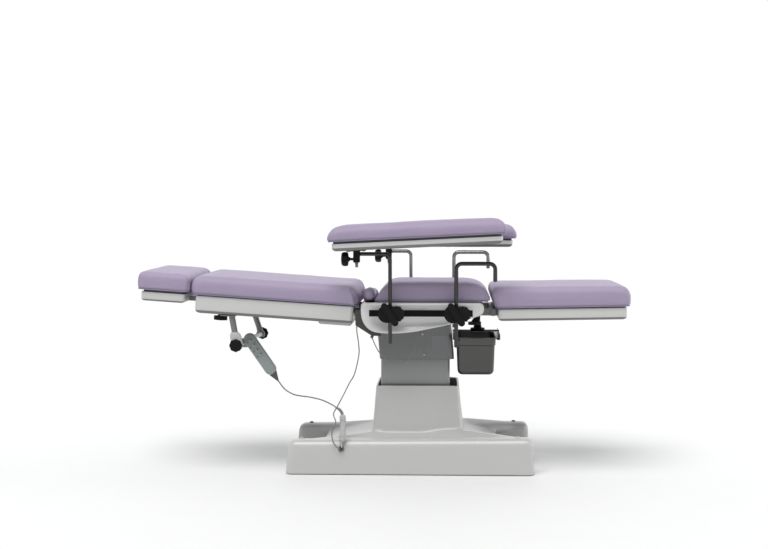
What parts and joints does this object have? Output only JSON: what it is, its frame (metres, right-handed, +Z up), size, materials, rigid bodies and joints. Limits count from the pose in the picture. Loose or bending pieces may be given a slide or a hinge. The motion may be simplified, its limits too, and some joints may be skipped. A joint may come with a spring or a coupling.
{
  "type": "gynecological examination table",
  "caption": "Adjustable examination couch in three padded sections on a lifting column, with armrests and handles on side rails, a sliding basin and a corded handset.",
  "frame": {"origin": "on the floor, at the middle of the base's four feet", "axes": "+X towards the leg end, -X towards the head end, -Y towards the side seen in the picture, +Z up"},
  "size_m": [1.9198, 0.8938, 1.0126],
  "materials": {
    "vinyl": "satin",
    "white_shell": "satin",
    "steel_chrome": "polished",
    "pan_steel": "brushed",
    "black_plastic": "satin",
    "grey_paint": "satin",
    "column_paint": "satin",
    "alloy": "satin",
    "black_paint": "satin",
    "rubber": "matte",
    "grey_plastic": "satin",
    "key_plastic": "satin",
    "cord_sleeve": "matte",
    "steel": "satin"
  },
  "bodies": {
    "base": {"base_cover": "white_shell", "base_chassis": "grey_paint", "base_feet": "rubber", "cover_screws": "steel", "cable_grommet": "rubber", "mains_inlet": "black_plastic", "column_outer": "column_paint", "curly_cord": "cord_sleeve", "back_cable": "cord_sleeve"},
    "mid_cover": {"column_mid_cover": "white_shell"},
    "lift": {"column_inner": "column_paint", "column_shroud": "white_shell", "seat_frame": "grey_paint", "seat_cover": "white_shell", "seat_pad": "vinyl", "side_rails": "black_paint", "basin_hanger": "black_paint", "cable_arm": "grey_paint", "back_actuator": "grey_paint", "motor_cable": "cord_sleeve"},
    "leg_lock": {"leg_lock_knob": "black_plastic"},
    "actuator": {"actuator_rod": "steel"},
    "back": {"back_frame": "grey_paint", "back_shell": "white_shell", "back_pad": "vinyl", "roll_arms": "steel_chrome", "handset_cord": "cord_sleeve"},
    "head_lock": {"head_lock_knob": "black_plastic"},
    "head": {"head_frame": "steel", "head_shell": "white_shell", "head_pad": "vinyl"},
    "leg": {"leg_frame": "steel", "leg_shell": "white_shell", "leg_pad": "vinyl"},
    "basin_pan": {"basin": "pan_steel"},
    "roll": {"roll_bar": "steel_chrome", "roll_knobs": "black_plastic"},
    "hand_control": {"handset": "grey_plastic"},
    "key_1": {"rocker_1": "key_plastic"},
    "key_2": {"rocker_2": "key_plastic"},
    "key_3": {"rocker_3": "key_plastic"},
    "key_4": {"rocker_4": "key_plastic"},
    "near_arm_mount": {"near_arm_clamp": "black_paint"},
    "near_arm_lock": {"near_arm_wing": "black_plastic"},
    "near_arm_riser": {"near_arm_post": "steel_chrome"},
    "near_arm_rest": {"near_arm_shell": "white_shell", "near_arm_pad": "vinyl"},
    "near_arm_lever": {"near_arm_knob": "black_plastic"},
    "near_handle_mount": {"near_handle_clamp": "black_paint"},
    "near_handle_lock": {"near_handle_wing": "black_plastic"},
    "near_handle_grip": {"near_handle": "steel_chrome"},
    "far_arm_mount": {"far_arm_clamp": "black_paint"},
    "far_arm_lock": {"far_arm_wing": "black_plastic"},
    "far_arm_riser": {"far_arm_post": "steel_chrome"},
    "far_arm_rest": {"far_arm_shell": "white_shell", "far_arm_pad": "vinyl"},
    "far_arm_lever": {"far_arm_knob": "black_plastic"},
    "far_handle_mount": {"far_handle_clamp": "black_paint"},
    "far_handle_lock": {"far_handle_wing": "black_plastic"},
    "far_handle_grip": {"far_handle": "steel_chrome"}
  },
  "joints": [
    {"name": "column_lift", "type": "slide", "parent": "base", "child": "lift", "axis": [0, 0, 1], "range_m": [-0.03, 0.17], "deforming": ["curly_cord", "back_cable"]},
    {"name": "mid_cover_slide", "type": "slide", "parent": "base", "child": "mid_cover", "axis": [0, 0, 1], "range_m": [-0.015, 0.085]},
    {"name": "back_hinge", "type": "hinge", "parent": "lift", "child": "back", "pos_m": [-0.165, 0, 0.69], "axis": [0, 1, 0], "range_deg": [-4, 60]},
    {"name": "back_drive", "type": "slide", "parent": "lift", "child": "actuator", "axis": [-1, 0, 0], "range_m": [-0.0072, 0.1068]},
    {"name": "leg_lock_turn", "type": "hinge", "parent": "lift", "child": "leg_lock", "pos_m": [0.255, -0.18, 0.592], "axis": [0, 0, 1], "continuous": true},
    {"name": "head_lock_turn", "type": "hinge", "parent": "back", "child": "head_lock", "pos_m": [-0.7588, -0.15, 0.61021], "axis": [0.068, 0, 0.9977], "continuous": true},
    {"name": "head_slide", "type": "slide", "parent": "back", "child": "head", "axis": [-0.9977, 0, 0.068], "range_m": [0, 0.12]},
    {"name": "leg_slide", "type": "slide", "parent": "lift", "child": "leg", "axis": [1, 0, 0], "range_m": [0, 0.14]},
    {"name": "basin_slide", "type": "slide", "parent": "lift", "child": "basin_pan", "axis": [0, 1, 0], "range_m": [-0.16, 0.16]},
    {"name": "roll_turn", "type": "hinge", "parent": "back", "child": "roll", "pos_m": [-0.678, -0.262, 0.51], "axis": [0.0629, 0.998, 0], "continuous": true},
    {"name": "handset_swing", "type": "hinge", "parent": "back", "child": "hand_control", "pos_m": [-0.67082, -0.148, 0.51], "axis": [0.0629, 0.998, 0], "range_deg": [-25, 25]},
    {"name": "key_1_rock", "type": "hinge", "parent": "hand_control", "child": "key_1", "pos_m": [-0.63987, -0.1764, 0.51732], "axis": [-0.5793, 0, 0.8151], "range_deg": [-3, 3], "stiffness_Nm_per_rad": 0.12},
    {"name": "key_2_rock", "type": "hinge", "parent": "hand_control", "child": "key_2", "pos_m": [-0.62683, -0.1764, 0.49898], "axis": [-0.5793, 0, 0.8151], "range_deg": [-3, 3], "stiffness_Nm_per_rad": 0.12},
    {"name": "key_3_rock", "type": "hinge", "parent": "hand_control", "child": "key_3", "pos_m": [-0.6138, -0.1764, 0.48064], "axis": [-0.5793, 0, 0.8151], "range_deg": [-3, 3], "stiffness_Nm_per_rad": 0.12},
    {"name": "key_4_rock", "type": "hinge", "parent": "hand_control", "child": "key_4", "pos_m": [-0.60077, -0.1764, 0.4623], "axis": [-0.5793, 0, 0.8151], "range_deg": [-3, 3], "stiffness_Nm_per_rad": 0.12},
    {"name": "near_arm_mount_slide", "type": "slide", "parent": "lift", "child": "near_arm_mount", "axis": [1, 0, 0], "range_m": [-0.05, 0.06]},
    {"name": "near_arm_lock_turn", "type": "hinge", "parent": "near_arm_mount", "child": "near_arm_lock", "pos_m": [-0.086, -0.38, 0.6405], "axis": [0, 1, 0], "range_deg": [-60, 60]},
    {"name": "near_arm_height", "type": "slide", "parent": "near_arm_mount", "child": "near_arm_riser", "axis": [0, 0, 1], "range_m": [-0.05, 0.1]},
    {"name": "near_arm_roll", "type": "hinge", "parent": "near_arm_riser", "child": "near_arm_rest", "pos_m": [-0.074, -0.341, 0.871], "axis": [1, 0, 0], "range_deg": [0, 20]},
    {"name": "near_arm_knob_turn", "type": "hinge", "parent": "near_arm_rest", "child": "near_arm_lever", "pos_m": [-0.236, -0.341, 0.851], "axis": [1, 0, 0], "continuous": true},
    {"name": "near_handle_mount_slide", "type": "slide", "parent": "lift", "child": "near_handle_mount", "axis": [1, 0, 0], "range_m": [-0.06, 0.02]},
    {"name": "near_handle_lock_turn", "type": "hinge", "parent": "near_handle_mount", "child": "near_handle_lock", "pos_m": [0.169, -0.38, 0.6405], "axis": [0, 1, 0], "range_deg": [-60, 60]},
    {"name": "near_handle_height", "type": "slide", "parent": "near_handle_mount", "child": "near_handle_grip", "axis": [0, 0, 1], "range_m": [-0.09, 0.05]},
    {"name": "far_arm_mount_slide", "type": "slide", "parent": "lift", "child": "far_arm_mount", "axis": [1, 0, 0], "range_m": [-0.1, 0.02]},
    {"name": "far_arm_lock_turn", "type": "hinge", "parent": "far_arm_mount", "child": "far_arm_lock", "pos_m": [-0.021, 0.38, 0.6405], "axis": [0, 1, 0], "range_deg": [-60, 60]},
    {"name": "far_arm_height", "type": "slide", "parent": "far_arm_mount", "child": "far_arm_riser", "axis": [0, 0, 1], "range_m": [-0.01, 0.1]},
    {"name": "far_arm_roll", "type": "hinge", "parent": "far_arm_riser", "child": "far_arm_rest", "pos_m": [-0.009, 0.341, 0.86], "axis": [1, 0, 0], "range_deg": [-20, 0]},
    {"name": "far_arm_knob_turn", "type": "hinge", "parent": "far_arm_rest", "child": "far_arm_lever", "pos_m": [-0.137, 0.341, 0.84], "axis": [1, 0, 0], "continuous": true},
    {"name": "far_handle_mount_slide", "type": "slide", "parent": "lift", "child": "far_handle_mount", "axis": [1, 0, 0], "range_m": [-0.03, 0.03]},
    {"name": "far_handle_lock_turn", "type": "hinge", "parent": "far_handle_mount", "child": "far_handle_lock", "pos_m": [0.163, 0.38, 0.6405], "axis": [0, 1, 0], "range_deg": [-60, 60]},
    {"name": "far_handle_height", "type": "slide", "parent": "far_handle_mount", "child": "far_handle_grip", "axis": [0, 0, 1], "range_m": [-0.11, 0.01]}
  ],
  "couplings": [
    {"joint": "mid_cover_slide", "follows": "column_lift", "ratio": 0.5},
    {"joint": "back_drive", "follows": "back_hinge", "m_per_rad": 0.10187}
  ]
}
